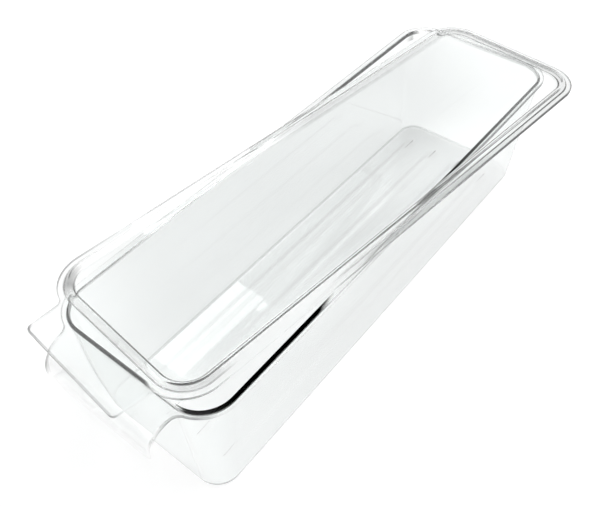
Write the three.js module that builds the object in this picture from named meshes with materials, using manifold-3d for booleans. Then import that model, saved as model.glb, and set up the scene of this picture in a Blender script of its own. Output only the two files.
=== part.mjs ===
// A long, narrow fridge bin of clear moulded plastic, with its lift-off lid lying a little askew on the rim.
// Millimetres. +Z is up, the pull is at the -Y end, and the origin is the middle of the bin's underside.
import * as THREE from 'three';
import { mergeVertices } from 'three/addons/utils/BufferGeometryUtils.js';
import Module from 'manifold-3d';

const wasm = await Module();
wasm.setup();

// Mouth of the bin: the inner edge of the rim, seen from above
const mouthLength = 334.8;
const mouthWidth = 100.4;
const mouthCorner = 17.8;

// Body of the bin
const binHeight = 86;
const binWall = 1.5;
const floorThickness = 1.8;
const wallDraft = THREE.MathUtils.degToRad(3.6);
const innerFloorFillet = 2;
const outerFloorFillet = 4;

// Rim: a level lip that turns outwards round the mouth
const rimReach = 3.9;
const rimThickness = 2.2;
const rimRound = 0.5;

// Flutes: long shallow hollows side by side under the floor
const fluteCount = 4;
const fluteWidth = 10;
const flutePitch = 20.6;
const fluteLength = 290.8;
const fluteCorner = 5;
const fluteDepth = 0.5;
const fluteSlope = 3.8;
const fluteEndSlope = 12;

// Pull: a curved apron as thick as the rim, that hangs from its front
const pullRootWidth = 73.9;
const pullTipWidth = 68.3;
const pullBend = 17.6;
const pullDrop = 10.8;
const pullTipCorner = 9;
const pullFlare = 5.5;
const pullBite = 1.2;

// Lid: a thin panel whose edge is stiffened by a raised bead, with a flat lip outside the bead
const lidOverhang = 1;
const lidWall = 1.8;
const lidLip = 2.7;
const lidEdgeRound = 0.25;
const beadWidth = 6.6;
const beadRise = 2;
const beadSkin = 1.1;
const lidSeatGap = 0.3;

// Tab: a flat lift tongue at the front of the lid
const tabReach = 20.3;
const tabRootWidth = 71.8;
const tabTipWidth = 69.4;
const tabTipCorner = 3.4;
const tabFlare = 3.5;
const tabBite = 1.6;

// Where the lid lies on the bin
const lidTurn = THREE.MathUtils.degToRad(-5.74);
const lidShiftX = 2.8;
const lidShiftY = 4.9;

// How far a cutting body reaches past the face that it cuts
const cutOverrun = 1;

// Facets
const cornerSteps = 16;
const filletSteps = 5;
const fluteSteps = 4;
const beadSteps = 10;
const bendSteps = 10;
const sideSteps = 4;
const edgeSteps = 3;
const edgeTurn = THREE.MathUtils.degToRad(70);

const clearPlastic = {
  color: 0xe6ebea,
  roughness: 0.08,
  metalness: 0,
  transparent: true,
  opacity: 0.35,
};

// A ring of points round a rounded rectangle, set in from its outline, at height z
function ring(outline, inset, z) {
  const halfX = outline.width / 2 - inset;
  const halfY = outline.length / 2 - inset;
  const corner = outline.corner - inset;
  const points = [];
  for (let quarter = 0; quarter < 4; quarter += 1) {
    const signX = quarter === 0 || quarter === 3 ? 1 : -1;
    const signY = quarter < 2 ? 1 : -1;
    for (let step = 0; step <= cornerSteps; step += 1) {
      const angle = (quarter + step / cornerSteps) * Math.PI / 2;
      const x = signX * (halfX - corner) + corner * Math.cos(angle);
      const y = signY * (halfY - corner) + corner * Math.sin(angle);
      points.push(new THREE.Vector3(x, y, z));
    }
  }
  return points;
}

// The middle of a ring, where a cap's triangles meet
function middle(points) {
  const sum = new THREE.Vector3();
  points.forEach((point) => sum.add(point));
  return sum.divideScalar(points.length);
}

// A closed skin over a run of rings: a cap on the first, walls from ring to ring, and a cap on the last
function skin(rings) {
  const count = rings[0].length;
  const points = rings.flat();
  const firstMiddle = points.length;
  const lastMiddle = firstMiddle + 1;
  points.push(middle(rings[0]), middle(rings[rings.length - 1]));
  const triangles = [];
  const lastStart = (rings.length - 1) * count;
  for (let here = 0; here < count; here += 1) {
    const next = (here + 1) % count;
    triangles.push(firstMiddle, here, next);
    triangles.push(lastMiddle, lastStart + next, lastStart + here);
    for (let level = 0; level < rings.length - 1; level += 1) {
      const a = level * count;
      const b = a + count;
      triangles.push(a + here, b + here, b + next);
      triangles.push(a + here, b + next, a + next);
    }
  }
  const geometry = new THREE.BufferGeometry().setFromPoints(points);
  geometry.setIndex(triangles);
  return geometry;
}

// From a geometry to a solid that can be joined and cut
function solid(geometry) {
  const bare = geometry.clone();
  bare.deleteAttribute('normal');
  bare.deleteAttribute('uv');
  const merged = mergeVertices(bare);
  const mesh = new wasm.Mesh({
    numProp: 3,
    vertProperties: new Float32Array(merged.attributes.position.array),
    triVerts: new Uint32Array(merged.index.array),
  });
  return new wasm.Manifold(mesh);
}

// And back again
function geometryOf(body) {
  const mesh = body.getMesh();
  const geometry = new THREE.BufferGeometry();
  geometry.setAttribute('position', new THREE.BufferAttribute(mesh.vertProperties, 3));
  geometry.setIndex(new THREE.BufferAttribute(mesh.triVerts, 1));
  geometry.computeVertexNormals();
  return geometry;
}

function namedMesh(name, body) {
  const mesh = new THREE.Mesh(geometryOf(body), new THREE.MeshStandardMaterial(clearPlastic));
  mesh.name = name;
  return mesh;
}

// Points of a rounded edge as [inset, height] pairs, round a centre, from one angle to another
function arc(centreInset, centreZ, radius, fromAngle, toAngle) {
  const points = [];
  for (let step = 0; step <= filletSteps; step += 1) {
    const angle = THREE.MathUtils.lerp(fromAngle, toAngle, step / filletSteps);
    points.push([centreInset + radius * Math.sin(angle), centreZ + radius * Math.cos(angle)]);
  }
  return points;
}

const mouth = { width: mouthWidth, length: mouthLength, corner: mouthCorner };
const rimOutline = {
  width: mouthWidth + 2 * rimReach,
  length: mouthLength + 2 * rimReach,
  corner: mouthCorner + rimReach,
};

// How far the inner wall has leaned in from the mouth at height z
function lean(z) {
  return (binHeight - z) * Math.tan(wallDraft);
}

// Section of the bin from the middle of its floor, up the inside, over the rim and down the outside
function binSection() {
  const level = Math.PI / 2;
  const innerFoot = floorThickness + innerFloorFillet;
  const innerInset = lean(innerFoot) + innerFloorFillet / Math.cos(wallDraft);
  const outerInset = lean(outerFloorFillet) - binWall + outerFloorFillet / Math.cos(wallDraft);
  const underRim = binHeight - rimThickness;
  return [
    ...arc(innerInset, innerFoot, innerFloorFillet, 2 * level, 3 * level - wallDraft),
    ...arc(-rimRound, binHeight - rimRound, rimRound, level, 0),
    ...arc(rimRound - rimReach, binHeight - rimRound, rimRound, 0, -level),
    ...arc(rimRound - rimReach, underRim + rimRound, rimRound, -level, -2 * level),
    [lean(underRim) - binWall, underRim],
    ...arc(outerInset, outerFloorFillet, outerFloorFillet, -level - wallDraft, -2 * level),
  ];
}

// One flute's outline: at share 0 its edge, at share 1 the end of its slopes, which are longer at the ends
function fluteOutline(share) {
  const inset = fluteSlope * share;
  return {
    width: fluteWidth - 2 * inset,
    length: fluteLength - 2 * fluteEndSlope * share,
    corner: fluteCorner - inset,
  };
}

// What the flutes take out of the underside: each one's skin slopes gently up from its edge
function flutes() {
  const rings = [ring(fluteOutline(0), 0, -cutOverrun)];
  for (let step = 0; step <= fluteSteps; step += 1) {
    const rise = THREE.MathUtils.smoothstep(step, 0, fluteSteps);
    rings.push(ring(fluteOutline(step / fluteSteps), 0, fluteDepth * rise));
  }
  const bodies = [];
  for (let index = 0; index < fluteCount; index += 1) {
    const geometry = skin([...rings].reverse());
    geometry.translate((index - (fluteCount - 1) / 2) * flutePitch, 0, 0);
    bodies.push(solid(geometry));
  }
  return bodies;
}

// How far a rounded corner draws the edge in, at a distance from the line that the corner starts on
function cornerDrawIn(distance, radius) {
  const left = THREE.MathUtils.clamp(radius - distance, 0, radius);
  return radius - Math.sqrt(radius ** 2 - left ** 2);
}

// The fillet at a sheet's root, from the panel's corner arc (its foot) to the sheet's own side (its centre).
// Both are distances out from the panel's front edge, and the foot lies behind it.
function rootFillet(panel, rootWidth, flare) {
  const across = rootWidth / 2 + flare - (panel.width / 2 - panel.corner);
  const ahead = Math.sqrt((panel.corner + flare) ** 2 - across ** 2);
  const foot = panel.corner * ahead / (panel.corner + flare) - panel.corner;
  return { flare, foot, centre: ahead - panel.corner };
}

// How far that fillet widens the sheet, at a distance out from the panel's front edge
function flareOut(distance, fillet) {
  return cornerDrawIn(Math.max(distance, fillet.foot) - fillet.centre + fillet.flare, fillet.flare);
}

// Stations along a sheet, each with its half thickness: root, root fillet, middle and rounded tip
function stations(bite, fillet, end, tipCorner, thickness) {
  const distances = [fillet.foot - bite];
  const sweep = Math.asin((fillet.centre - fillet.foot) / fillet.flare);
  for (let step = filletSteps; step >= 0; step -= 1) {
    distances.push(fillet.centre - fillet.flare * Math.sin(sweep * step / filletSteps));
  }
  for (let step = 1; step < bendSteps; step += 1) {
    distances.push(THREE.MathUtils.lerp(fillet.centre, end - tipCorner, step / bendSteps));
  }
  for (let step = 0; step < filletSteps; step += 1) {
    distances.push(end - tipCorner * (1 - Math.sin(step / filletSteps * Math.PI / 2)));
  }
  const half = thickness / 2;
  const plain = distances.filter((distance) => distance < end - half);
  const places = plain.map((distance) => ({ distance, round: half }));
  for (let step = 0; step <= edgeSteps; step += 1) {
    const turn = step / edgeSteps * edgeTurn;
    places.push({ distance: end - half * (1 - Math.sin(turn)), round: half * Math.cos(turn) });
  }
  return places;
}

// A sheet with round side edges, lofted through its stations along a path in the YZ plane
function sheet(places, path, halfWidth, thickness) {
  const half = thickness / 2;
  const rings = places.map(({ distance, round }) => {
    const { y, z, normalY, normalZ } = path(distance);
    const points = [];
    [1, -1].forEach((side) => {
      for (let step = 0; step <= sideSteps; step += 1) {
        const angle = side * (1 / 2 - step / sideSteps) * Math.PI;
        const across = side * (halfWidth(distance) - half + half * Math.cos(angle));
        const off = round * Math.sin(angle);
        points.push(new THREE.Vector3(across, y + normalY * off, z + normalZ * off));
      }
    });
    return points;
  });
  return skin(rings);
}

// Radius of the middle of the pull's sheet where it bends
const pullMiddleBend = pullBend - rimThickness / 2;
const pullEnd = pullMiddleBend * Math.PI / 2 + pullDrop;

// Middle of the pull's sheet at a distance out from the rim's edge: level, then bent down, then hanging
function pullPath(distance) {
  const level = Math.max(-distance, 0);
  const angle = THREE.MathUtils.clamp(distance / pullMiddleBend, 0, Math.PI / 2);
  const hang = Math.max(distance - pullMiddleBend * Math.PI / 2, 0);
  return {
    y: level - rimOutline.length / 2 - pullMiddleBend * Math.sin(angle),
    z: binHeight - rimThickness / 2 - pullMiddleBend * (1 - Math.cos(angle)) - hang,
    normalY: -Math.sin(angle),
    normalZ: Math.cos(angle),
  };
}

function pullSheet() {
  const fillet = rootFillet(rimOutline, pullRootWidth, pullFlare);
  const halfWidth = (distance) => {
    const share = THREE.MathUtils.clamp(distance / pullEnd, 0, 1);
    const taper = THREE.MathUtils.lerp(pullRootWidth, pullTipWidth, share) / 2;
    return taper + flareOut(distance, fillet) - cornerDrawIn(pullEnd - distance, pullTipCorner);
  };
  const places = stations(pullBite, fillet, pullEnd, pullTipCorner, rimThickness);
  return sheet(places, pullPath, halfWidth, rimThickness);
}

// The bin: one moulding with its rim, fluted floor and pull
function bin() {
  const shell = solid(skin(binSection().map(([inset, z]) => ring(mouth, inset, z))));
  const withPull = shell.add(solid(pullSheet()));
  return namedMesh('bin', flutes().reduce((body, flute) => body.subtract(flute), withPull));
}

const lidOutline = {
  width: rimOutline.width + 2 * lidOverhang,
  length: rimOutline.length + 2 * lidOverhang,
  corner: rimOutline.corner + lidOverhang,
};

// The top of the bead as [inset, height] pairs: it swells softly out of the panel and sinks softly into the lip
function swell(centreInset, footZ, halfWidth, rise) {
  const points = [];
  for (let step = 0; step <= beadSteps; step += 1) {
    const share = step / beadSteps;
    const across = THREE.MathUtils.lerp(halfWidth, -halfWidth, share);
    points.push([centreInset + across, footZ + rise * Math.sin(Math.PI * share) ** 2]);
  }
  return points;
}

// The groove under the bead as [inset, height] pairs: half an oval from its outer foot to its inner foot
function groove(centreInset, halfWidth, rise) {
  const points = [];
  for (let step = 0; step <= beadSteps; step += 1) {
    const angle = step / beadSteps * Math.PI;
    points.push([centreInset - halfWidth * Math.cos(angle), rise * Math.sin(angle)]);
  }
  return points;
}

// Section of the lid from the middle of its top, over the bead, round the lip and back underneath
function lidSection() {
  const level = Math.PI / 2;
  const beadMiddle = lidLip + beadWidth / 2;
  return [
    ...swell(beadMiddle, lidWall, beadWidth / 2, beadRise),
    ...arc(lidEdgeRound, lidWall - lidEdgeRound, lidEdgeRound, 0, -level),
    ...arc(lidEdgeRound, lidEdgeRound, lidEdgeRound, -level, -2 * level),
    ...groove(beadMiddle, beadWidth / 2 - beadSkin, beadRise + lidWall - beadSkin),
  ];
}

function tabPath(distance) {
  return { y: -lidOutline.length / 2 - distance, z: lidWall / 2, normalY: 0, normalZ: 1 };
}

function tabSheet() {
  const fillet = rootFillet(lidOutline, tabRootWidth, tabFlare);
  const halfWidth = (distance) => {
    const share = THREE.MathUtils.clamp(distance / tabReach, 0, 1);
    const taper = THREE.MathUtils.lerp(tabRootWidth, tabTipWidth, share) / 2;
    return taper + flareOut(distance, fillet) - cornerDrawIn(tabReach - distance, tabTipCorner);
  };
  return sheet(stations(tabBite, fillet, tabReach, tabTipCorner, lidWall), tabPath, halfWidth, lidWall);
}

// The lid: one moulding with its bead, lip and tab
function lid() {
  const panel = solid(skin(lidSection().map(([inset, z]) => ring(lidOutline, inset, z))));
  return namedMesh('lid', panel.add(solid(tabSheet())));
}

const organizer = new THREE.Group();
organizer.add(bin());

const lidPlace = new THREE.Group();
lidPlace.position.set(lidShiftX, lidShiftY, binHeight + lidSeatGap);
lidPlace.rotation.z = lidTurn;
lidPlace.add(lid());
organizer.add(lidPlace);

export default organizer;
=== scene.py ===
import math

import bpy
import numpy as np
from mathutils import Matrix, Vector
from mathutils.geometry import delaunay_2d_cdt


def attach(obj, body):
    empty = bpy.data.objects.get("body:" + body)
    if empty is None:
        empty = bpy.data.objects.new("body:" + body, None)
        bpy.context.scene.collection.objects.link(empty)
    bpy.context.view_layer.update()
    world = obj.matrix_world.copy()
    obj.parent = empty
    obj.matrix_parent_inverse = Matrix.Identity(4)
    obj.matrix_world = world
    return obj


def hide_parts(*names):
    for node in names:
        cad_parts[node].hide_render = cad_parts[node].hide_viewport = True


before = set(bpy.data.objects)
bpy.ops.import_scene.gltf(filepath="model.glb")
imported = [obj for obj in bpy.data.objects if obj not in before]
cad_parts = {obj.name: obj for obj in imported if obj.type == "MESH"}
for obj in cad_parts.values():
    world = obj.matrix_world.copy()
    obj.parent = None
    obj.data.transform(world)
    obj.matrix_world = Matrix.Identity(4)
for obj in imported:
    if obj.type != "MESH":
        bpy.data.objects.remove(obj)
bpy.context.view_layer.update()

MM = 0.001
QUARTER = math.pi / 2

# Sizes in millimetres, the same as the solids'
MOUTH_LENGTH = 334.8
MOUTH_WIDTH = 100.4
MOUTH_CORNER = 17.8
BIN_HEIGHT = 86.0
WALL = 1.5
FLOOR = 1.8
DRAFT = math.radians(3.6)
INNER_FILLET = 2.0
OUTER_FILLET = 4.0
RIM_REACH = 3.9
RIM_THICKNESS = 2.2
RIM_ROUND = 0.5
FLUTES = 4
FLUTE_WIDTH = 10.0
FLUTE_PITCH = 20.6
FLUTE_LENGTH = 290.8
FLUTE_CORNER = 5.0
FLUTE_DEPTH = 0.5
FLUTE_SLOPE = 3.8
FLUTE_END_SLOPE = 12.0
PULL_ROOT = 73.9
PULL_TIP = 68.3
PULL_BEND = 17.6
PULL_DROP = 10.8
PULL_CORNER = 9.0
PULL_FLARE = 5.5
LID_OVERHANG = 1.0
LID_WALL = 1.8
LID_LIP = 2.7
LID_ROUND = 0.25
BEAD_WIDTH = 6.6
BEAD_RISE = 2.0
BEAD_SKIN = 1.1
SEAT_GAP = 0.3
TAB_REACH = 20.3
TAB_ROOT = 71.8
TAB_TIP = 69.4
TAB_CORNER = 3.4
TAB_FLARE = 3.5
LID_TURN = math.radians(-5.74)
LID_PLACE = (2.8, 4.9)

# Small forms that only the scene has: a fillet under the rim, and a gentle start and end of the pull's
# bend, each over this share of it
RIM_ROOT = 0.6
PULL_EASE = 0.25

# Heights and places that follow from the sizes
RIM_TOP = BIN_HEIGHT
RIM_UNDER = BIN_HEIGHT - RIM_THICKNESS
RIM_MIDDLE = BIN_HEIGHT - RIM_THICKNESS / 2
RIM_EDGE_Y = -(MOUTH_LENGTH / 2 + RIM_REACH)
PULL_MIDDLE_BEND = PULL_BEND - RIM_THICKNESS / 2
LID_WIDTH = MOUTH_WIDTH + 2 * (RIM_REACH + LID_OVERHANG)
LID_LENGTH = MOUTH_LENGTH + 2 * (RIM_REACH + LID_OVERHANG)
LID_CORNER = MOUTH_CORNER + RIM_REACH + LID_OVERHANG
BEAD_MIDDLE = LID_LIP + BEAD_WIDTH / 2

# Steps of the round forms
CORNER_STEPS = 20
ROUND_STEPS = 6
ROOT_STEPS = 4
INNER_FILLET_STEPS = 10
OUTER_FILLET_STEPS = 12
FLUTE_STEPS = 14
BEAD_STEPS = 28
PATH_STEPS = 400

# Distances between points along the straight sides: of a tongue, of other outlines, and of a flute.
# A flute's loops get shorter up its slopes, and at so wide a distance they all have as many points.
SIDE_STEP = 1.2
SIDE_GAP = 4.0
FLUTE_GAP = 50.0

# Rows of points across the pull: the points in a row, how far the first row lies from the rim's edge, and
# how far each row ends before the loops of the pull's edge
ACROSS_POINTS = 9
ACROSS_START = 0.4
ACROSS_MARGIN = 0.3

# Nearer than these, two places are one: where the pull starts, and where a plane is filled
TOUCH = 1e-9
MERGE = 1e-7

# The photograph's edges are black in some places and gone in others. So a piece has two values at its
# points: how much painted shade darkens its colour there, standing in for the dark lines that refraction
# draws at the plastic's edges, and how far the plastic thins out to nothing. They are set by stations
# round an outline, each with x and y in millimetres and a value from 0 to 1, and run evenly from station to
# station. The pull's stations lie where it would be if it weren't bent, and the lid's where it would be if
# it weren't turned and shifted.

# Painted shade, how dark: the mouth's inner edge
MOUTH_SHADE = [
    (-50, -153, 0.35), (-34, -167, 0.75), (10, -167, 0.75), (13, -167, 0.0), (33, -167, 0.0),
    (36, -167, 0.9), (50, -149, 0.85), (50, -105, 0.8), (50, -85, 0.3), (50, -75, 0.0),
    (50, -30, 0.0), (50, 20, 0.15), (50, 60, 0.35), (50, 100, 0.5), (50, 140, 0.5), (45, 160, 0.2),
    (20, 167, 0.12), (-25, 167, 0.0), (-45, 161, 0.0), (-49, 154, 0.5), (-50, 148, 0.65),
    (-50, 70, 0.6), (-50, 50, 0.3), (-50, 30, 0.1), (-50, -10, 0.03), (-50, -90, 0.06),
    (-50, -115, 0.2), (-50, -130, 0.35),
]
# The share of that painted shade which is left at the lower end of the mouth's painted dark line
MOUTH_SHADE_DEPTH = [
    (-50, -154, 0.0), (-42, -162, 1.0), (50, -160, 1.0), (50, -60, 1.0), (50, 10, 0.2),
    (50, 140, 0.3), (46, 160, 1.0), (-50, 160, 1.0), (-50, 20, 1.0), (-50, -20, 0.0),
]
# Painted shade, how dark: the outer edge of the rim and the pull
RIM_SHADE = [
    (38, -171, 0.12), (46, -168, 0.12), (52, -160, 0.0), (54, -140, 0.0), (54, 60, 0.0),
    (54, 110, 0.12), (54, 145, 0.12), (30, 171, 0.0), (-30, 171, 0.0), (-54, 150, 0.0),
    (-54, -150, 0.0), (-50, -165, 0.05), (-38, -171, 0.12), (-36, -176, 0.0), (-36, -182, 0.05),
    (-36, -190, 0.15), (-35, -198, 0.0), (-35, -206, 0.0), (35, -206, 0.0), (36, -193, 0.0),
    (37, -185, 0.02),
]
# Painted shade, how dark: the inner fillet round the floor
FILLET_SHADE = [
    (40, -155, 0.0), (40, 158, 0.03), (-38, 158, 0.12), (-44, 150, 0.12), (-44, -60, 0.1),
    (-44, -120, 0.1), (-30, -160, 0.08),
]
# Painted shade, how dark: the outer edge of the lid's lip and tab
LIP_SHADE = [
    (36, -172, 0.0), (50, -165, 0.2), (55, -140, 0.0), (55, -75, 0.0), (55, -60, 0.1),
    (55, 20, 0.35), (55, 80, 0.7), (55, 150, 0.8), (50, 165, 0.4), (35, 172, 0.1), (-50, 165, 0.0),
    (-55, 140, 0.0), (-55, 25, 0.0), (-55, 0, 0.1), (-55, -95, 0.13), (-55, -120, 0.0),
    (-50, -165, 0.2), (-40, -171, 0.1), (-36, -173, 0.05), (-35, -189, 0.0), (-34, -192, 0.3),
    (-20, -192, 0.12), (32, -192, 0.09), (34, -192, 0.0), (35, -189, 0.0), (36, -180, 0.0),
]
# Where painted shade darkens the lip over its whole edge, and greys it inwards: at the back right
BROAD_LIP_SHADE = [
    (55, -40, 0.0), (55, 10, 0.6), (55, 40, 1.0), (55, 150, 1.0), (45, 168, 0.5), (20, 172, 0.0),
    (-55, 0, 0.0), (0, -172, 0.0),
]
# Painted shade, how dark: the two steep feet of the groove under the bead
INNER_FOOT_SHADE = [
    (-46, -150, 0.0), (-40, -160, 0.1), (-32, -164, 0.2), (20, -164, 0.2), (28, -164, 0.9),
    (46, -150, 0.6), (46, -110, 0.5), (46, -50, 0.5), (46, 20, 0.4), (46, 100, 0.3),
    (46, 130, 0.15), (30, 164, 0.1), (-30, 164, 0.1), (-46, 140, 0.0), (-46, -20, 0.0),
]
OUTER_FOOT_SHADE = [
    (-50, -154, 0.4), (-45, -162, 0.6), (-36, -168, 0.1), (36, -168, 0.1), (51, -150, 0.1),
    (51, -135, 0.0), (51, -70, 0.0), (51, -50, 0.1), (51, 130, 0.15), (35, 168, 0.1),
    (-35, 168, 0.1), (-51, 140, 0.1), (-51, 30, 0.1), (-51, 0, 0.0), (-51, -135, 0.0),
]
# Painted shade on the lid's top, in soft greys: inside the bead, on its crest, and over all its width
PANEL_SHADE = [
    (-46, -150, 0.0), (46, -150, 0.0), (46, 130, 0.0), (30, 164, 0.05), (-30, 164, 0.05),
    (-46, 150, 0.06), (-46, 120, 0.1), (-46, 20, 0.12), (-46, -15, 0.0),
]
RIDGE_SHADE = [
    (-49, -150, 0.0), (49, -150, 0.0), (49, 150, 0.0), (-30, 166, 0.0), (-49, 150, 0.3),
    (-49, 20, 0.4), (-49, -15, 0.1), (-49, -40, 0.0),
]
BAND_SHADE = [
    (-51, -150, 0.0), (-47, -160, 0.22), (-42, -165, 0.3), (-34, -168, 0.05), (15, -168, 0.06),
    (34, -168, 0.0), (46, -162, 0.05), (51, -148, 0.06), (51, -138, 0.0), (51, 60, 0.0),
    (51, 120, 0.05), (45, 160, 0.1), (30, 168, 0.14), (-35, 168, 0.08), (-51, 150, 0.04),
    (-51, 0, 0.0),
]

# How thin: the mouth's inner edge
MOUTH_THIN = [
    (12, -167, 0.0), (15, -167, 1.0), (34, -167.4, 1.0), (37, -167, 0.0), (50, -150, 0.0),
    (50, -84, 0.0), (50, -76, 0.97), (50, -20, 0.97), (50, 10, 0.0), (50, 150, 0.0), (30, 167, 0.0),
    (-10, 167, 0.6), (-36, 167, 0.9), (-45, 161, 0.95), (-49, 154, 0.3), (-50, 150, 0.0),
    (-50, -150, 0.0),
]
# How thin: the outer edge of the rim and the pull
RIM_THIN = [
    (36, -171, 0.75), (46, -168, 0.8), (54, -150, 0.9), (54, 60, 0.8), (54, 110, 0.4),
    (54, 150, 0.4), (30, 171, 0.3), (-30, 171, 0.3), (-54, 150, 0.4), (-54, 20, 0.5),
    (-54, -20, 0.6), (-54, -70, 0.6), (-54, -110, 0.8), (-54, -140, 0.95), (-46, -168, 0.6),
    (-38, -171, 0.6), (-36, -192, 0.85), (-35, -200, 1.0), (35, -200, 1.0), (36, -192, 1.0),
]
# How thin: the outer edge of the lid's lip and tab
LIP_THIN = [
    (36, -172, 0.95), (46, -168, 0.6), (55, -150, 0.8), (55, -75, 0.9), (55, -40, 0.2),
    (55, 0, 0.0), (55, 150, 0.0), (0, 172, 0.0), (-55, 150, 0.3), (-55, 30, 0.5), (-55, -20, 0.65),
    (-55, -70, 0.65), (-55, -110, 0.85), (-55, -150, 1.0), (-51, -162, 0.85), (-46, -168, 0.3),
    (-38, -172, 0.2), (-35, -175, 0.8), (-35, -189, 0.8), (-34, -192, 0.0), (33, -192, 0.2),
    (35, -189, 0.9),
]
# How thin: the groove under the bead, at its outer and its inner half
OUTER_FOOT_THIN = [
    (-50, -152, 0.6), (-45, -162, 0.0), (-34, -168, 0.6), (34, -168, 0.6), (50, -155, 0.6),
    (51, -140, 0.9), (51, -60, 0.9), (51, -30, 0.3), (51, 20, 0.0), (51, 150, 0.0), (-51, 150, 0.3),
    (-51, 30, 0.5), (-51, -10, 0.95), (-51, -135, 0.95),
]
INNER_FOOT_THIN = [
    (-46, -148, 0.97), (-46, -80, 0.9), (-46, -20, 0.85), (-46, 20, 0.85), (-46, 140, 0.8),
    (-30, 164, 0.2), (30, 164, 0.0), (46, 140, 0.0), (46, -140, 0.0), (25, -164, 0.0),
    (-34, -164, 0.3), (-42, -158, 0.8),
]
# How thin: the flat faces of the rim and the lip, which lie on each other with little light lost between
FLAT_THIN = [
    (20, -172, 0.2), (50, -165, 0.6), (54, -150, 1.0), (55, -75, 1.0), (55, -45, 0.8),
    (55, -20, 0.4), (55, 20, 0.2), (55, 70, 0.0), (55, 150, 0.0), (-55, 150, 0.0), (-55, -150, 0.0),
    (-20, -172, 0.0),
]

# Over this distance a painted shade mark fades away past the face that it darkens
EDGE_FADE = 0.4
# How far the painted dark lines reach: down the mouth from the rim's top, up the groove from its feet, and
# inwards on the lip and the tab past their rounding. The lip's painted line starts a little below its top.
MOUTH_LINE = 2.6
FOOT_LINE = 0.9
LIP_LINE = 0.5
LIP_LINE_START = 0.1
# How much further down the mouth's wall is thin
MOUTH_THIN_DEPTH = 4.0
# Rows of the floor's fillet that its painted shade darkens, and how far in from the mouth its stations are
# read
FILLET_ROWS = range(2, 8)
FILLET_INSET = 10.0
# How thin the pull's edge gets, and its faces, which thin out from this distance along it, over this length
PULL_EDGE_THIN = 0.85
PULL_FACE_THIN = 0.75
PULL_FACE_START = 11.0
PULL_FACE_LENGTH = 10.0
# How dark the painted shade on the flutes' slopes gets, and how thin they get. Behind this y, and over this
# length, the painted shade grows from its least share to all of it.
FLUTE_SHADE = 0.022
FLUTE_THIN = 0.5
FLUTE_LEAST = 0.15
FLUTE_FADE_Y = -70.0
FLUTE_FADE_LENGTH = 50.0
# The broad lip's painted grey shade on its flat faces, and its share of the edge's painted shade beside the
# edge
LIP_SHADE_GREY = 0.07
LIP_BESIDE = 0.3
# How far inwards of the bead the panel's painted soft grey shade starts, where it reaches its share, and
# that share
PANEL_GREY_START = 3.0
PANEL_GREY_FULL = 1.2
PANEL_GREY_SHARE = 0.8
# Half the width of the painted dark line on the bead's crest, as a share of the bead's width
RIDGE_HALF = 0.036
# A mark is a share of painted shade as the eye sees it. Light in the scene is linear, by a power of 2.2,
# and the shader takes the square root of its colour at each face.
MARK_POWER = 2 * 2.2


def lean(z):
    """How far the inner wall has leaned in from the mouth at height z."""
    return (BIN_HEIGHT - z) * math.tan(DRAFT)


def share(value):
    """The value, kept from 0 to 1."""
    return min(1.0, max(0.0, value))


# Outlines, as points in the plane that run counter-clockwise

def turn_round(centre, radius, start, end):
    """Points on an arc, by the angles of its start and end."""
    angles = np.linspace(start, end, CORNER_STEPS + 1)
    return np.array(centre) + radius * np.stack([np.cos(angles), np.sin(angles)], axis=1)


def joined(arcs, pieces):
    """One closed loop from arcs, with the straight after each arc cut into a number of pieces."""
    out = []
    for k, (points, count) in enumerate(zip(arcs, pieces)):
        out.append(points)
        after = arcs[(k + 1) % len(arcs)][0]
        along = np.arange(1, count)[:, None] / max(count, 1)
        out.append(points[-1] + (after - points[-1]) * along)
    return np.concatenate(out)


def rectangle(width, length, radius, inset, gap=SIDE_GAP):
    """A rectangle with rounded corners, set in by inset."""
    x, y = width / 2 - radius, length / 2 - radius
    arcs = []
    for k, centre in enumerate([(x, -y), (x, y), (-x, y), (-x, -y)]):
        arcs.append(turn_round(centre, radius - inset, (k - 1) * QUARTER, k * QUARTER))
    return joined(arcs, [int(2 * y / gap), int(2 * x / gap)] * 2)


def tongued(width, length, radius, root, tip, reach, flare, corner, inset):
    """A rounded rectangle with a tongue at its -Y side, whose root fillets run into two of its corners."""
    x, y = width / 2, length / 2
    taper = math.atan((root - tip) / 2 / reach)
    outward = np.array([math.cos(taper), -math.sin(taper)])
    side = outward @ (root / 2, -y)
    near = np.array([x - radius, radius - y])
    # The root fillet touches the rectangle's corner arc at this angle
    foot = -taper - math.acos((side + flare - outward @ near) / (radius + flare))
    fillet = near + (radius + flare) * np.array([math.cos(foot), math.sin(foot)])
    tip_y = corner - y - reach
    tip_x = (side - corner + outward[1] * -tip_y) / outward[0]
    right = [
        turn_round((tip_x, tip_y), corner - inset, -QUARTER, -taper),
        turn_round(fillet, flare + inset, math.pi - taper, math.pi + foot),
        turn_round(near, radius - inset, foot, 0.0)[1:],
        turn_round((x - radius, y - radius), radius - inset, 0.0, QUARTER),
    ]
    left = [points[::-1] * (-1.0, 1.0) for points in reversed(right)]
    # The same number of points at every inset, so that the loops can be joined
    beside = int(reach / SIDE_STEP)
    front = int(tip / SIDE_STEP)
    long = int(2 * (y - radius) / SIDE_GAP)
    back = int(2 * (x - radius) / SIDE_GAP)
    return joined(right + left, [beside, 1, long, back, long, 1, beside, front])


def mouth(inset):
    """The mouth's outline."""
    return rectangle(MOUTH_WIDTH, MOUTH_LENGTH, MOUTH_CORNER, inset)


def rim(inset):
    """The outline of the rim, with the pull before it is bent."""
    return tongued(MOUTH_WIDTH + 2 * RIM_REACH, MOUTH_LENGTH + 2 * RIM_REACH, MOUTH_CORNER + RIM_REACH,
                   PULL_ROOT, PULL_TIP, PULL_END, PULL_FLARE, PULL_CORNER, inset)


def panel(inset):
    """The lid's outline without its tab."""
    return rectangle(LID_WIDTH, LID_LENGTH, LID_CORNER, inset)


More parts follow.
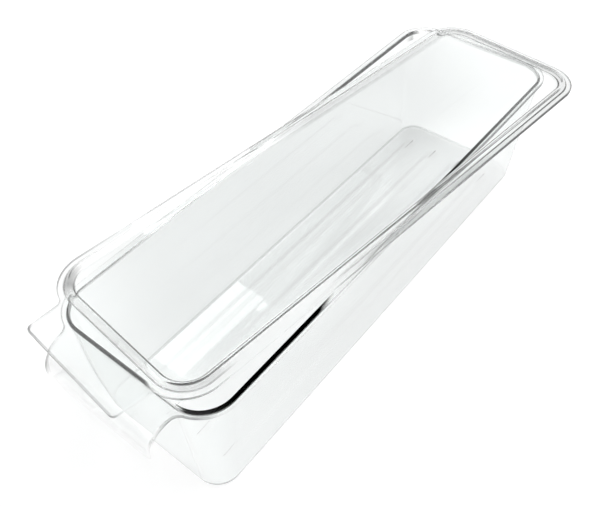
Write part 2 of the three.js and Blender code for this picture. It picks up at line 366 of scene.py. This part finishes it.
def tabbed(inset):
    """The lid's outline with its tab."""
    return tongued(LID_WIDTH, LID_LENGTH, LID_CORNER,
                   TAB_ROOT, TAB_TIP, TAB_REACH, TAB_FLARE, TAB_CORNER, inset)


def arc(inset, z, radius, start, end, steps=ROUND_STEPS):
    """[inset, height] pairs round an edge."""
    angles = np.linspace(start, end, steps + 1)
    return [(inset + radius * math.sin(a), z + radius * math.cos(a)) for a in angles]


def strengths(flat, stations):
    """The value at each point of a loop, from the stations round it."""
    places = np.array(stations, float)
    out = np.zeros(len(flat))
    best = np.full(len(flat), np.inf)
    for a, b in zip(places, np.roll(places, -1, axis=0)):
        along = b[:2] - a[:2]
        t = np.clip((flat - a[:2]) @ along / (along @ along), 0, 1)
        away = np.linalg.norm(flat - a[:2] - t[:, None] * along, axis=1)
        nearer = away < best
        best[nearer] = away[nearer]
        out[nearer] = (a[2] + (b[2] - a[2]) * t)[nearer]
    return out


def within(point, loop):
    """Whether a point lies inside a closed loop."""
    a, b = loop, np.roll(loop, -1, axis=0)
    crosses = (a[:, 1] > point[1]) != (b[:, 1] > point[1])
    a, b = a[crosses], b[crosses]
    x = a[:, 0] + (point[1] - a[:, 1]) / (b[:, 1] - a[:, 1]) * (b[:, 0] - a[:, 0])
    return int(np.sum(x > point[0])) % 2 == 1


# Building a piece's mesh

class Solid:
    """Gathers points and faces of one closed piece, in millimetres."""

    def __init__(self):
        self.points = []
        self.faces = []
        # At some points, how dark painted shade makes the plastic look, and how far it thins out
        self.edge = {}
        self.thin = {}

    def loop(self, flat, z, edge=None, thin=None):
        """Adds a level loop of points. z, edge (the painted shade) and thin are one number, or one for each
        point.
        """
        start = len(self.points)
        self.points += [(x, y, high) for (x, y), high in zip(flat, np.broadcast_to(z, len(flat)))]
        ids = list(range(start, len(self.points)))
        for kept, values in ((self.edge, edge), (self.thin, thin)):
            if values is not None:
                kept.update(zip(ids, np.broadcast_to(values, len(flat)).tolist()))
        return ids

    def band(self, loops):
        """Faces from each loop to the next."""
        for a, b in zip(loops[:-1], loops[1:]):
            n = len(a)
            for i in range(n):
                j = (i + 1) % n
                self.faces.append((a[i], b[i], b[j], a[j]))

    def plane(self, outer, holes=(), up=True, lines=()):
        """Fills between the outer loop and the holes, through any lines of points."""
        used, edges = [], []
        for loop in [outer, *holes]:
            first = len(used)
            used += loop
            edges += [(first + i, first + (i + 1) % len(loop)) for i in range(len(loop))]
        for line in lines:
            first = len(used)
            used += line
            edges += [(first + i, first + i + 1) for i in range(len(line) - 1)]
        flat = [Vector(self.points[i][:2]) for i in used]
        verts, _, faces, origin, _, _ = delaunay_2d_cdt(flat, edges, [], 0, MERGE, True)
        index = []
        for v, ids in zip(verts, origin):
            if ids:
                index.append(used[ids[0]])
            else:
                self.points.append((v.x, v.y, self.points[outer[0]][2]))
                index.append(len(self.points) - 1)
        outline = np.array([self.points[i][:2] for i in outer])
        cuts = [np.array([self.points[i][:2] for i in hole]) for hole in holes]
        for face in faces:
            centre = np.mean([list(verts[i]) for i in face], axis=0)
            if not within(centre, outline) or any(within(centre, cut) for cut in cuts):
                continue
            ids = [index[i] for i in face]
            self.faces.append(tuple(ids if up else reversed(ids)))

    def build(self, name, change):
        """The piece, with its points moved by change, and its two values, the painted shade and the
        thinning, kept as attributes.
        """
        points = change(np.array(self.points, float))
        mesh = bpy.data.meshes.new(name)
        mesh.from_pydata([tuple(p) for p in points * MM], [], self.faces)
        # The painted shade, turned from a share seen by the eye into a linear one
        dark = [1 - (1 - self.edge.get(i, 0.0)) ** MARK_POWER for i in range(len(points))]
        thin = [self.thin.get(i, 0.0) for i in range(len(points))]
        for kept, values in (("edge", dark), ("thin", thin)):
            mesh.attributes.new(kept, "FLOAT", "POINT").data.foreach_set("value", values)
        piece = bpy.data.objects.new(name, mesh)
        bpy.context.scene.collection.objects.link(piece)
        mesh.polygons.foreach_set("use_smooth", [True] * len(mesh.polygons))
        weigh = piece.modifiers.new("even_normals", "WEIGHTED_NORMAL")
        weigh.mode = "FACE_AREA"
        weigh.weight = 50
        weigh.keep_sharp = False
        return piece


# The bin

def pull_path():
    """The middle of the pull's sheet over its bend, as distance, reach, fall and angle."""
    t = np.linspace(0, 1, PATH_STEPS + 1)
    bend = np.clip(np.minimum(t, 1 - t) / PULL_EASE, 0, 1)
    angle = np.concatenate([[0], np.cumsum((bend[1:] + bend[:-1]) / 2)])
    angle *= QUARTER / angle[-1]
    middle = (angle[1:] + angle[:-1]) / 2
    reach = np.concatenate([[0], np.cumsum(np.cos(middle))])
    fall = np.concatenate([[0], np.cumsum(np.sin(middle))])
    size = PULL_MIDDLE_BEND / reach[-1]
    return np.arange(PATH_STEPS + 1) * size, reach * size, fall * size, angle


PULL_PATH = pull_path()
PULL_END = PULL_PATH[0][-1] + PULL_DROP


def bend_pull(points):
    """Bends what lies in front of the rim's edge down into the pull."""
    along, reach, fall, turn = PULL_PATH
    out = points.copy()
    moved = points[:, 1] < RIM_EDGE_Y - TOUCH
    distance = RIM_EDGE_Y - points[moved, 1]
    off = points[moved, 2] - RIM_MIDDLE
    angle = np.interp(distance, along, turn)
    hang = np.clip(distance - along[-1], 0, None)
    out[moved, 1] = RIM_EDGE_Y - np.interp(distance, along, reach) - off * np.sin(angle)
    out[moved, 2] = RIM_MIDDLE - np.interp(distance, along, fall) - hang + off * np.cos(angle)
    return out


def face_thin(distance):
    """How thin the pull's faces are, by the distance along it."""
    return PULL_FACE_THIN * np.clip((distance - PULL_FACE_START) / PULL_FACE_LENGTH, 0, 1)


def pull_lines(solid, z):
    """Rows of points across the pull, so that it can bend."""
    end = PULL_END - PULL_CORNER
    margin = RIM_THICKNESS / 2 + EDGE_FADE + ACROSS_MARGIN
    count = int((end - ACROSS_START) / SIDE_STEP)
    lines = []
    for k in range(count + 1):
        distance = ACROSS_START + (end - ACROSS_START) * k / count
        half = (PULL_ROOT + (PULL_TIP - PULL_ROOT) * distance / PULL_END) / 2 - margin
        flat = [(x, RIM_EDGE_Y - distance) for x in np.linspace(-half, half, ACROSS_POINTS)]
        lines.append(solid.loop(flat, z, None, face_thin(distance)))
    return lines


def inner_wall(solid):
    """Up the inside, from the floor's fillet over the mouth's rounding. Gives the first and last loop."""
    foot = FLOOR + INNER_FILLET
    marks = strengths(mouth(FILLET_INSET), FILLET_SHADE)
    fillet = arc(lean(foot) + INNER_FILLET / math.cos(DRAFT), foot, INNER_FILLET,
                 2 * QUARTER, 3 * QUARTER - DRAFT, INNER_FILLET_STEPS)
    loops = []
    for k, (inset, z) in enumerate(fillet):
        loops.append(solid.loop(mouth(inset), z, marks * (k in FILLET_ROWS)))
    # Beside the rim the inner wall is seen edge on, and painted shade draws a dark line there
    marks = strengths(mouth(0.0), MOUTH_SHADE)
    deep = strengths(mouth(0.0), MOUTH_SHADE_DEPTH)
    thin = strengths(mouth(0.0), MOUTH_THIN)
    flat_thin = strengths(mouth(0.0), FLAT_THIN)
    low = RIM_TOP - MOUTH_LINE
    rows = [
        (low - MOUTH_THIN_DEPTH - EDGE_FADE, 0.0, 0.0),
        (low - MOUTH_THIN_DEPTH, 0.0, 1.0),
        (low - EDGE_FADE, 0.0, 1.0),
        (low, deep, 1.0),
        (RIM_TOP - RIM_ROUND - EDGE_FADE, 1.0, 1.0),
    ]
    for z, marked, thinned in rows:
        loops.append(solid.loop(mouth(lean(z)), z, marks * marked, thin * thinned))
    rounding = arc(-RIM_ROUND, RIM_TOP - RIM_ROUND, RIM_ROUND, QUARTER, 0)
    for (inset, z), left in zip(rounding, np.linspace(1, 0, ROUND_STEPS + 1)):
        loops.append(solid.loop(mouth(inset), z, marks * left, np.maximum(thin, flat_thin * (1 - left))))
    solid.band(loops)
    return loops[0], loops[-1]


def edge_round(radius):
    """Over the rim's outer edge from its top to its underside, with the two roundings' radius."""
    over = arc(radius, RIM_TOP - radius, radius, 0, -QUARTER)
    return over + arc(radius, RIM_UNDER + radius, radius, -QUARTER, -2 * QUARTER)


def rim_edge(solid):
    """Round the rim's and the pull's outer edge, from top to underside. Gives the first and last loop."""
    out_from_rim = RIM_EDGE_Y - rim(0.0)[:, 1]
    on_pull = np.clip(out_from_rim / PULL_FLARE, 0, 1)
    # Painted shade round the rim's and the pull's outer edge
    marks = strengths(rim(0.0), RIM_SHADE)
    thin = np.maximum(strengths(rim(0.0), RIM_THIN), on_pull * PULL_EDGE_THIN)
    flat_thin = strengths(rim(0.0), FLAT_THIN) * (1 - on_pull) + face_thin(out_from_rim)
    beside = rim(RIM_THICKNESS / 2 + EDGE_FADE)
    loops = [solid.loop(beside, RIM_TOP, None, flat_thin)]
    # The rim's edge is lightly rounded, and the pull's fully
    light, full = edge_round(RIM_ROUND), edge_round(RIM_THICKNESS / 2)
    for k, ((inset, z), (full_inset, full_z)) in enumerate(zip(light, full)):
        flat = rim(inset) + (rim(full_inset) - rim(inset)) * on_pull[:, None]
        marked = 0 < k < len(light) - 1
        loops.append(solid.loop(flat, z + (full_z - z) * on_pull, marks * marked, thin))
    loops.append(solid.loop(beside, RIM_UNDER, None, flat_thin))
    solid.band(loops)
    return loops[0], loops[-1]


def outer_wall(solid):
    """Down the outside, from under the rim round the floor's fillet. Gives the first and last loop."""
    section = arc(lean(RIM_UNDER) - WALL - RIM_ROOT, RIM_UNDER - RIM_ROOT, RIM_ROOT, 0, QUARTER, ROOT_STEPS)
    section += arc(lean(OUTER_FILLET) - WALL + OUTER_FILLET / math.cos(DRAFT), OUTER_FILLET, OUTER_FILLET,
                   -QUARTER - DRAFT, -2 * QUARTER, OUTER_FILLET_STEPS)
    loops = [solid.loop(mouth(inset), z) for inset, z in section]
    solid.band(loops)
    return loops[0], loops[-1]


def flute_loops(solid, x):
    """Loops of one flute under the floor, from its foot up its gentle slope to its top."""
    loops = []
    for t in np.linspace(0, 1, FLUTE_STEPS + 1):
        inset = FLUTE_SLOPE * t
        flat = rectangle(FLUTE_WIDTH - 2 * inset, FLUTE_LENGTH - 2 * FLUTE_END_SLOPE * t,
                         FLUTE_CORNER - inset, 0.0, FLUTE_GAP)
        z = FLUTE_DEPTH * t * t * (3 - 2 * t)
        # 1 on the slope, and 0 at its foot and its top
        slope = min(1.0, 8 * t * (1 - t))
        # Painted shade on the slope, darker towards the back
        mark = FLUTE_SHADE * slope * np.clip((flat[:, 1] - FLUTE_FADE_Y) / FLUTE_FADE_LENGTH, FLUTE_LEAST, 1)
        loops.append(solid.loop(flat + np.array([x, 0.0]), z, mark, FLUTE_THIN * slope))
    return loops


def make_bin():
    """The bin: one moulding with its rim, fluted floor and pull."""
    solid = Solid()
    floor_top, mouth_edge = inner_wall(solid)
    rim_top, rim_under = rim_edge(solid)
    wall_root, underside = outer_wall(solid)
    top_lines = pull_lines(solid, RIM_TOP)
    under_lines = pull_lines(solid, RIM_UNDER)
    solid.plane(rim_top, holes=[mouth_edge], lines=top_lines)
    solid.plane(rim_under, holes=[wall_root], lines=under_lines, up=False)
    flutes = [flute_loops(solid, (k - (FLUTES - 1) / 2) * FLUTE_PITCH) for k in range(FLUTES)]
    solid.plane(floor_top)
    solid.plane(underside, holes=[flute[0] for flute in flutes], up=False)
    for flute in flutes:
        solid.band(flute)
        solid.plane(flute[-1], up=False)
    return solid.build("bin_moulding", bend_pull)


# The lid

def lip_edge(solid):
    """Round the lip's and the tab's outer edge, from top to underside. Gives the first and last loop."""
    rounding = arc(LID_ROUND, LID_WALL - LID_ROUND, LID_ROUND, 0, -QUARTER)
    rounding += [(0.0, LID_WALL / 2)]
    rounding += arc(LID_ROUND, LID_ROUND, LID_ROUND, -QUARTER, -2 * QUARTER)
    outline = tabbed(0.0)
    on_tab = np.clip((-LID_LENGTH / 2 - outline[:, 1]) / TAB_FLARE, 0, 1)
    # Painted shade round the lip's and the tab's edge, and painted grey beside it at the back right
    marks = strengths(outline, LIP_SHADE)
    thin = strengths(outline, LIP_THIN)
    flat_thin = strengths(outline, FLAT_THIN) * (1 - on_tab)
    broad = strengths(outline, BROAD_LIP_SHADE) * (1 - on_tab)
    near, far = tabbed(LID_ROUND + LIP_LINE), tabbed(LID_ROUND + LIP_LINE + EDGE_FADE)
    loops = [
        solid.loop(far, LID_WALL, LIP_SHADE_GREY * broad, flat_thin),
        solid.loop(near, LID_WALL, marks * np.maximum(on_tab, LIP_BESIDE * broad), flat_thin),
    ]
    for inset, z in rounding:
        below_top = z < LID_WALL - LIP_LINE_START
        loops.append(solid.loop(tabbed(inset), z, marks * np.maximum(below_top, broad), thin))
    loops.append(solid.loop(near, 0.0, marks * on_tab, flat_thin))
    loops.append(solid.loop(far, 0.0, None, flat_thin))
    solid.band(loops)
    return loops[0], loops[-1]


def bead_top(solid):
    """From the panel over the bead to the lip. Gives the first and last loop."""
    soft = strengths(panel(0.0), PANEL_SHADE)
    ridge = strengths(panel(0.0), RIDGE_SHADE)
    band = strengths(panel(0.0), BAND_SHADE)
    broad = strengths(panel(0.0), BROAD_LIP_SHADE)
    flat_thin = strengths(panel(0.0), FLAT_THIN)
    inside = BEAD_MIDDLE + BEAD_WIDTH / 2
    loops = [
        solid.loop(panel(inside + PANEL_GREY_START), LID_WALL),
        solid.loop(panel(inside + PANEL_GREY_FULL), LID_WALL, PANEL_GREY_SHARE * soft),
    ]
    # t is 0 at the panel, 0.5 on the crest and 1 at the lip. The painted shade marks lie on the inner half,
    # over all the width, on the crest and on the outer quarter, and the plastic thins out from the crest to
    # the lip.
    for t in np.linspace(0, 1, BEAD_STEPS + 1):
        mark = np.maximum(soft * share(4 - 7 * t), band * share(6 * t * (1 - t)))
        mark = np.maximum(mark, ridge * share(2 - abs(t - 0.5) / RIDGE_HALF))
        mark = np.maximum(mark, LIP_SHADE_GREY * broad * share(4 * t - 3))
        z = LID_WALL + BEAD_RISE * math.sin(math.pi * t) ** 2
        inset = BEAD_MIDDLE + BEAD_WIDTH * (0.5 - t)
        loops.append(solid.loop(panel(inset), z, mark, flat_thin * share(4 * t - 2)))
    solid.band(loops)
    return loops[0], loops[-1]


def bead_groove(solid):
    """The groove under the bead, from the lip to the panel. Gives the first and last loop."""
    half = BEAD_WIDTH / 2 - BEAD_SKIN
    flat_thin = strengths(panel(0.0), FLAT_THIN)
    # The groove's steep feet are what shows of the bead, and painted shade darkens them
    outer_foot = strengths(panel(0.0), OUTER_FOOT_SHADE)
    inner_foot = strengths(panel(0.0), INNER_FOOT_SHADE)
    outer_thin = np.maximum(strengths(panel(0.0), OUTER_FOOT_THIN), flat_thin)
    inner_thin = strengths(panel(0.0), INNER_FOOT_THIN)
    loops = [solid.loop(panel(BEAD_MIDDLE - half - EDGE_FADE), 0.0, None, flat_thin)]
    for a in np.linspace(0, math.pi, BEAD_STEPS + 1):
        z = (BEAD_RISE + LID_WALL - BEAD_SKIN) * math.sin(a)
        foot, thin = (outer_foot, outer_thin) if a < QUARTER else (inner_foot, inner_thin)
        mark = foot * np.clip((FOOT_LINE + EDGE_FADE - z) / EDGE_FADE, 0, 1)
        loops.append(solid.loop(panel(BEAD_MIDDLE - half * math.cos(a)), z, mark, thin))
    loops.append(solid.loop(panel(BEAD_MIDDLE + half + EDGE_FADE), 0.0))
    solid.band(loops)
    return loops[0], loops[-1]


def place_lid(points):
    """Turns and shifts the lid to where it lies on the rim."""
    sine, cosine = math.sin(LID_TURN), math.cos(LID_TURN)
    out = points.copy()
    out[:, :2] = points[:, :2] @ np.array([[cosine, sine], [-sine, cosine]]) + np.array(LID_PLACE)
    out[:, 2] += BIN_HEIGHT + SEAT_GAP
    return out


def make_lid():
    """The lid: one moulding with its bead, lip and tab."""
    solid = Solid()
    lip_top, lip_under = lip_edge(solid)
    panel_top, bead_outside = bead_top(solid)
    groove_outside, panel_under = bead_groove(solid)
    solid.plane(panel_top)
    solid.plane(lip_top, holes=[bead_outside])
    solid.plane(lip_under, holes=[groove_outside], up=False)
    solid.plane(panel_under, up=False)
    return solid.build("lid_moulding", place_lid)


# The plastic. Its tint where no painted shade darkens it, its tint in shadows, and how much it bends light
PLASTIC_TINT = (0.965, 0.978, 0.975, 1)
SHADOW_TINT = (0.988, 0.992, 0.991, 1)
WHITE = (1.0, 1.0, 1.0, 1)
BLACK = (0.0, 0.0, 0.0, 1)
PLASTIC_IOR = 1.49
# A faint haze that roughens the surface, and a faint waviness, in cells per metre. Each piece adds its own
# seed to the cells.
HAZE_CELLS = 38.0
HAZE_DETAIL = 4.0
HAZE_RANGE = (0.35, 0.75)
ROUGHNESS_RANGE = (0.0, 0.02)
WAVE_CELLS = 22.0
WAVE_DETAIL = 1.0
WAVE_STRENGTH = 0.012
WAVE_HEIGHT = 0.0006


def set_inputs(node, values):
    """Sets a node's constant inputs."""
    for name, value in values.items():
        node.inputs[name].default_value = value


def ramp_from_mark(nodes, links, mark, bright):
    """A colour that goes from bright to black with the mark, which paints shade into it."""
    ramp = nodes.new("ShaderNodeValToRGB")
    ramp.color_ramp.elements[0].color = bright
    ramp.color_ramp.elements[1].color = BLACK
    links.new(mark.outputs["Fac"], ramp.inputs["Fac"])
    return ramp.outputs["Color"]


def add_surface(nodes, links, plastic, seed):
    """The haze and the waviness of the plastic's surface."""
    place = nodes.new("ShaderNodeTexCoord")
    haze = nodes.new("ShaderNodeTexNoise")
    set_inputs(haze, {"Scale": HAZE_CELLS + seed, "Detail": HAZE_DETAIL})
    rough = nodes.new("ShaderNodeMapRange")
    set_inputs(rough, {"From Min": HAZE_RANGE[0], "From Max": HAZE_RANGE[1],
                       "To Min": ROUGHNESS_RANGE[0], "To Max": ROUGHNESS_RANGE[1]})
    wave = nodes.new("ShaderNodeTexNoise")
    set_inputs(wave, {"Scale": WAVE_CELLS + seed, "Detail": WAVE_DETAIL})
    bump = nodes.new("ShaderNodeBump")
    set_inputs(bump, {"Strength": WAVE_STRENGTH, "Distance": WAVE_HEIGHT})
    links.new(place.outputs["Object"], haze.inputs["Vector"])
    links.new(place.outputs["Object"], wave.inputs["Vector"])
    links.new(haze.outputs["Fac"], rough.inputs["Value"])
    links.new(rough.outputs["Result"], plastic.inputs["Roughness"])
    links.new(wave.outputs["Fac"], bump.inputs["Height"])
    links.new(bump.outputs["Normal"], plastic.inputs["Normal"])


def clear_plastic(name, seed):
    """Clear plastic that the edge values darken with painted shade and the thin values thin out."""
    mat = bpy.data.materials.new(name)
    mat.use_nodes = True
    nodes, links = mat.node_tree.nodes, mat.node_tree.links
    nodes.clear()
    edge = nodes.new("ShaderNodeAttribute")
    edge.attribute_name = "edge"
    thin = nodes.new("ShaderNodeAttribute")
    thin.attribute_name = "thin"
    plastic = nodes.new("ShaderNodeBsdfPrincipled")
    set_inputs(plastic, {"Transmission Weight": 1.0, "IOR": PLASTIC_IOR})
    # Painted shade: the edge values darken the plastic's colour towards black
    links.new(ramp_from_mark(nodes, links, edge, PLASTIC_TINT), plastic.inputs["Base Color"])
    add_surface(nodes, links, plastic, seed)
    # Where the plastic is thin, light goes straight through it, darkened by the same painted shade
    clear = nodes.new("ShaderNodeBsdfTransparent")
    links.new(ramp_from_mark(nodes, links, edge, WHITE), clear.inputs["Color"])
    thinned = nodes.new("ShaderNodeMixShader")
    links.new(thin.outputs["Fac"], thinned.inputs["Fac"])
    links.new(plastic.outputs["BSDF"], thinned.inputs[1])
    links.new(clear.outputs["BSDF"], thinned.inputs[2])
    # Its shadows are nearly clear too
    shadow = nodes.new("ShaderNodeBsdfTransparent")
    shadow.inputs["Color"].default_value = SHADOW_TINT
    path = nodes.new("ShaderNodeLightPath")
    both = nodes.new("ShaderNodeMixShader")
    links.new(path.outputs["Is Shadow Ray"], both.inputs["Fac"])
    links.new(thinned.outputs["Shader"], both.inputs[1])
    links.new(shadow.outputs["BSDF"], both.inputs[2])
    out = nodes.new("ShaderNodeOutputMaterial")
    links.new(both.outputs["Shader"], out.inputs["Surface"])
    return mat


def dress(piece, material, body, node):
    """Gives a piece its material, its body and its material slot, and hides the node that it stands for."""
    piece.data.materials.append(material)
    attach(piece, body)
    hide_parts(node)


bin_piece = make_bin()
lid_piece = make_lid()
dress(bin_piece, clear_plastic("clear_plastic_bin", 0.0), "bin", "bin")
dress(lid_piece, clear_plastic("clear_plastic_lid", 7.0), "lid", "lid")
# The solids that the pieces stand for have the same plastic
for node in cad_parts.values():
    node.data.materials.clear()
    node.data.materials.append(bin_piece.data.materials[0])


# The stage: a white floor under a pale sky, two lamps and the camera

# The floor's own light, as it looks straight to the camera, mirrored, and through the plastic
FLOOR_GLOW = (("Is Camera Ray", 0.74), ("Is Glossy Ray", 0.60), ("Is Transmission Ray", 0.66))
# Painted light and shade on the floor, seen only through the plastic, in soft spots: x, y, radii across and
# along, in metres, and the gain of what is seen through the plastic
PAINTED_FLOOR_SPOTS = [
    (-0.002, 0.128, 0.050, 0.115, 0.30),
    (0.004, -0.045, 0.026, 0.105, 0.16),
    (0.0, -0.175, 0.080, 0.060, 0.26),
    (-0.090, 0.030, 0.060, 0.190, -0.07),
]
# Half the floor's side and how far it lies below the bin, in metres
FLOOR_HALF = 6.0
FLOOR_DROP = 0.0004
FLOOR_GREY = (0.36, 0.36, 0.36, 1)

# The sky's level, and its darker and brighter parts. Each has its azimuth and elevation, the degrees within
# which it is full and beyond which it is gone, and the share that it takes away or the light that it adds.
SKY_LEVEL = 1.3
SKY_DARK = [(130.0, 43.0, 11.0, 19.0, 0.95), (-50.0, 50.0, 28.0, 62.0, 0.9)]
SKY_BRIGHT = [(62.0, 62.0, 8.0, 26.0, 3.0)]

# Lamps that shine straight down and show as mirror images: name, place, width, length and power
LAMPS = [
    ("softbox", (-0.122, -0.016, 0.15), 0.037, 0.106, 0.044),
    ("small_lamp", (-0.0990, 0.0290, 0.15), 0.0045, 0.011, 0.0007),
]

# The camera, as solved from the photograph: place in metres, angles in degrees, and focal length in pixels
CAMERA_PLACE = (0.17755, -0.25950, 0.3610)
CAMERA_AZIMUTH = 38.705
CAMERA_ELEVATION = 47.685
CAMERA_ROLL = -0.621
FOCAL_PIXELS = 714.19
PICTURE_WIDTH = 600.0
SENSOR_WIDTH = 36.0
NEAREST = 0.01
FARTHEST = 50.0


def math_node(nodes, links, operation, a, b):
    """The result of an operation on two values, each a number or a node's output."""
    node = nodes.new("ShaderNodeMath")
    node.operation = operation
    for socket, value in zip(node.inputs, (a, b)):
        if isinstance(value, float):
            socket.default_value = value
        else:
            links.new(value, socket)
    return node.outputs[0]


def vector_node(nodes, links, operation, vector, constant=None):
    """The node of an operation on a vector, and on a constant where one is given."""
    node = nodes.new("ShaderNodeVectorMath")
    node.operation = operation
    links.new(vector, node.inputs[0])
    if constant is not None:
        node.inputs[1].default_value = constant
    return node


def soft_step(nodes, links, value, ends):
    """A smooth step of a value, with the ends that are given by name."""
    step = nodes.new("ShaderNodeMapRange")
    step.interpolation_type = "SMOOTHSTEP"
    set_inputs(step, ends)
    links.new(value, step.inputs["Value"])
    return step.outputs["Result"]


def painted_spot_gain(nodes, links):
    """1, with the painted light and shade of the soft spots added."""
    place = nodes.new("ShaderNodeNewGeometry").outputs["Position"]
    total = 1.0
    for x, y, across, along, gain in PAINTED_FLOOR_SPOTS:
        near = vector_node(nodes, links, "SUBTRACT", place, (x, y, 0.0))
        shrunk = vector_node(nodes, links, "MULTIPLY", near.outputs[0], (1 / across, 1 / along, 0.0))
        away = vector_node(nodes, links, "LENGTH", shrunk.outputs[0]).outputs["Value"]
        soft = soft_step(nodes, links, away, {"To Min": gain, "To Max": 0.0})
        total = math_node(nodes, links, "ADD", soft, total)
    return total


def glow_level(nodes, links):
    """The floor's own light, by the kind of ray that meets it, with painted spots on what the plastic
    shows.
    """
    path = nodes.new("ShaderNodeLightPath")
    spots = painted_spot_gain(nodes, links)
    total = 0.0
    for name, level in FLOOR_GLOW:
        part = math_node(nodes, links, "MULTIPLY", path.outputs[name], level)
        # Painted light and shade on the floor where it is seen through the plastic
        if name == "Is Transmission Ray":
            part = math_node(nodes, links, "MULTIPLY", part, spots)
        total = math_node(nodes, links, "MAXIMUM", total, part)
    return total


def make_floor():
    """A wide matt floor just below the bin."""
    mesh = bpy.data.meshes.new("floor")
    signs = [(-1, -1), (1, -1), (1, 1), (-1, 1)]
    corners = [(x * FLOOR_HALF, y * FLOOR_HALF, -FLOOR_DROP) for x, y in signs]
    mesh.from_pydata(corners, [], [(0, 1, 2, 3)])
    floor = bpy.data.objects.new("floor", mesh)
    bpy.context.scene.collection.objects.link(floor)
    mat = bpy.data.materials.new("pale_floor")
    mat.use_nodes = True
    nodes, links = mat.node_tree.nodes, mat.node_tree.links
    nodes.clear()
    matt = nodes.new("ShaderNodeBsdfDiffuse")
    matt.inputs["Color"].default_value = FLOOR_GREY
    glow = nodes.new("ShaderNodeEmission")
    glow.inputs["Color"].default_value = WHITE
    both = nodes.new("ShaderNodeAddShader")
    out = nodes.new("ShaderNodeOutputMaterial")
    links.new(glow_level(nodes, links), glow.inputs["Strength"])
    links.new(matt.outputs["BSDF"], both.inputs[0])
    links.new(glow.outputs["Emission"], both.inputs[1])
    links.new(both.outputs["Shader"], out.inputs["Surface"])
    mesh.materials.append(mat)


def direction(azimuth, elevation):
    """The unit vector towards an azimuth and an elevation in degrees."""
    az, el = math.radians(azimuth), math.radians(elevation)
    return math.cos(el) * math.cos(az), math.cos(el) * math.sin(az), math.sin(el)


def make_world():
    """A pale studio with a darker ceiling on the side that the lid mirrors to the camera."""
    world = bpy.data.worlds.new("studio")
    bpy.context.scene.world = world
    world.use_nodes = True
    nodes, links = world.node_tree.nodes, world.node_tree.links
    nodes.clear()
    view = nodes.new("ShaderNodeTexCoord").outputs["Generated"]

    def lobe(azimuth, elevation, full, none, strength):
        """A strength within full degrees of a direction, which falls smoothly to 0 at none degrees."""
        towards = vector_node(nodes, links, "DOT_PRODUCT", view, direction(azimuth, elevation))
        ends = {"From Min": math.cos(math.radians(none)), "From Max": math.cos(math.radians(full))}
        soft = soft_step(nodes, links, towards.outputs["Value"], ends)
        return math_node(nodes, links, "MULTIPLY", soft, strength)

    level = SKY_LEVEL
    for part in SKY_DARK:
        left = math_node(nodes, links, "SUBTRACT", 1.0, lobe(*part))
        level = math_node(nodes, links, "MULTIPLY", left, level)
    for part in SKY_BRIGHT:
        level = math_node(nodes, links, "ADD", level, lobe(*part))
    sky = nodes.new("ShaderNodeBackground")
    sky.inputs["Color"].default_value = WHITE
    out = nodes.new("ShaderNodeOutputWorld")
    links.new(level, sky.inputs["Strength"])
    links.new(sky.outputs["Background"], out.inputs["Surface"])


def make_lamp(name, place, width, length, power):
    """A lamp that shows in mirror images and lights nothing matt."""
    lamp = bpy.data.lights.new(name, "AREA")
    lamp.shape = "RECTANGLE"
    lamp.size = width
    lamp.size_y = length
    lamp.energy = power
    item = bpy.data.objects.new(name, lamp)
    bpy.context.scene.collection.objects.link(item)
    item.visible_camera = False
    item.visible_diffuse = False
    item.location = place
    item.rotation_euler = Vector((0.0, 0.0, -place[2])).to_track_quat("-Z", "Y").to_euler()


def make_camera():
    """The photograph's camera."""
    azimuth, elevation = math.radians(CAMERA_AZIMUTH), math.radians(CAMERA_ELEVATION)
    roll = math.radians(CAMERA_ROLL)
    back = Vector((math.sin(azimuth) * math.cos(elevation),
                   -math.cos(azimuth) * math.cos(elevation),
                   math.sin(elevation)))
    level = Vector((math.cos(azimuth), math.sin(azimuth), 0.0))
    rise = back.cross(level)
    right = level * math.cos(roll) + rise * math.sin(roll)
    up = rise * math.cos(roll) - level * math.sin(roll)
    cam = bpy.data.cameras.new("camera")
    cam.sensor_width = SENSOR_WIDTH
    cam.sensor_fit = "HORIZONTAL"
    cam.lens = FOCAL_PIXELS * SENSOR_WIDTH / PICTURE_WIDTH
    cam.clip_start = NEAREST
    cam.clip_end = FARTHEST
    item = bpy.data.objects.new("camera", cam)
    bpy.context.scene.collection.objects.link(item)
    turn = Matrix((right, up, back)).transposed().to_4x4()
    item.matrix_world = Matrix.Translation(Vector(CAMERA_PLACE)) @ turn
    bpy.context.scene.camera = item


make_floor()
make_world()
for lamp in LAMPS:
    make_lamp(*lamp)
make_camera()
bpy.context.scene.view_settings.view_transform = "Standard"
